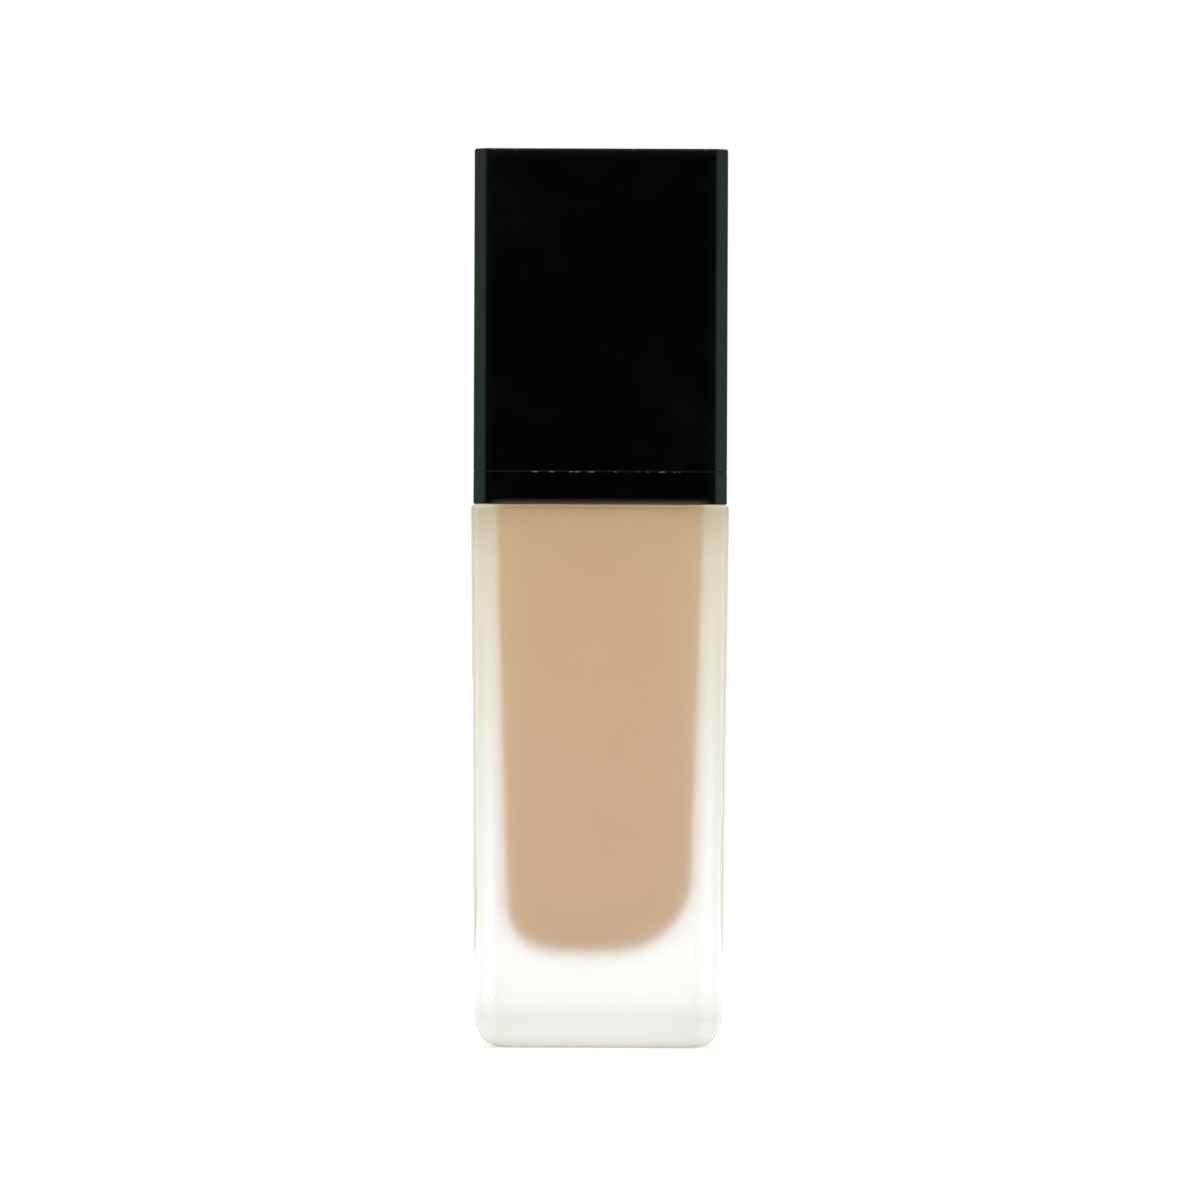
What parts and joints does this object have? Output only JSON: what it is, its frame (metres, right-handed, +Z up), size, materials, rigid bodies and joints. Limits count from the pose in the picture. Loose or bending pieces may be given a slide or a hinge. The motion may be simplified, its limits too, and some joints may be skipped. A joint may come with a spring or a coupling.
{
  "type": "foundation bottle",
  "caption": "Square frosted glass make-up bottle with a heavy base, tan fill, treatment pump, low square collar and tall square black overcap.",
  "frame": {"origin": "centre of the base, on the surface that the bottle stands on", "axes": "+Z up the bottle towards the overcap, -Y towards the front face and the spout, +X to the front's right"},
  "size_m": [0.032, 0.032, 0.1117],
  "materials": {
    "frosted_glass": "acid-frosted outside, clear inside",
    "foundation": "opaque tan cream that wets the glass",
    "foam_washer": "soft white foam sheet",
    "natural_plastic": "milky natural moulding",
    "clear_tube": "extruded, slightly milky",
    "polished_steel": "polished ball",
    "spring_steel": "drawn wire",
    "piston_plastic": "soft seal",
    "black_satin": "satin black moulding",
    "black_gloss": "polished black with fine handling marks"
  },
  "bodies": {
    "bottle": {"glass_bottle": "frosted_glass", "foundation_liquid": "foundation"},
    "gasket": {"neck_gasket": "foam_washer"},
    "pump_unit": {"pump_housing": "natural_plastic", "dip_tube": "clear_tube", "ball_cage": "natural_plastic", "return_spring": "spring_steel", "chaplet": "natural_plastic"},
    "ball": {"inlet_ball": "polished_steel"},
    "stem": {"stem": "natural_plastic", "piston_rod": "natural_plastic"},
    "piston": {"piston": "piston_plastic"},
    "actuator": {"actuator_button": "black_gloss", "actuator_core": "black_satin", "nozzle_spout": "black_satin"},
    "closure": {"screw_closure": "black_satin", "pump_shroud": "black_gloss", "square_collar": "black_gloss"},
    "overcap": {"overcap_shell": "black_gloss", "overcap_liner": "black_satin"}
  },
  "joints": [
    {"name": "pump_withdraw", "type": "slide", "parent": "bottle", "child": "gasket", "axis": [0, 0, 1], "range_m": [0, 0.075]},
    {"name": "thread_lift", "type": "slide", "parent": "gasket", "child": "pump_unit", "axis": [0, 0, 1], "range_m": [0, 0.00476]},
    {"name": "closure_turn", "type": "hinge", "parent": "pump_unit", "child": "closure", "pos_m": [0, 0, 0.0847], "axis": [0, 0, 1], "range_deg": [0, 540]},
    {"name": "overcap_lift", "type": "slide", "parent": "closure", "child": "overcap", "axis": [0, 0, 1], "range_m": [0, 0.04]},
    {"name": "pump_stroke", "type": "slide", "parent": "pump_unit", "child": "stem", "axis": [0, 0, -1], "range_m": [0, 0.004], "stiffness_N_per_m": 1500, "springref_m": -0.003, "deforming": ["return_spring"]},
    {"name": "actuator_turn", "type": "hinge", "parent": "stem", "child": "actuator", "pos_m": [0, 0, 0.099], "axis": [0, 0, 1], "continuous": true},
    {"name": "piston_slip", "type": "slide", "parent": "stem", "child": "piston", "axis": [0, 0, 1], "range_m": [0, 0.0008]},
    {"name": "ball_lift", "type": "slide", "parent": "pump_unit", "child": "ball", "axis": [0, 0, 1], "range_m": [0, 0.0008]}
  ],
  "couplings": [
    {"joint": "closure_turn", "follows": "thread_lift", "rad_per_m": 1979}
  ]
}
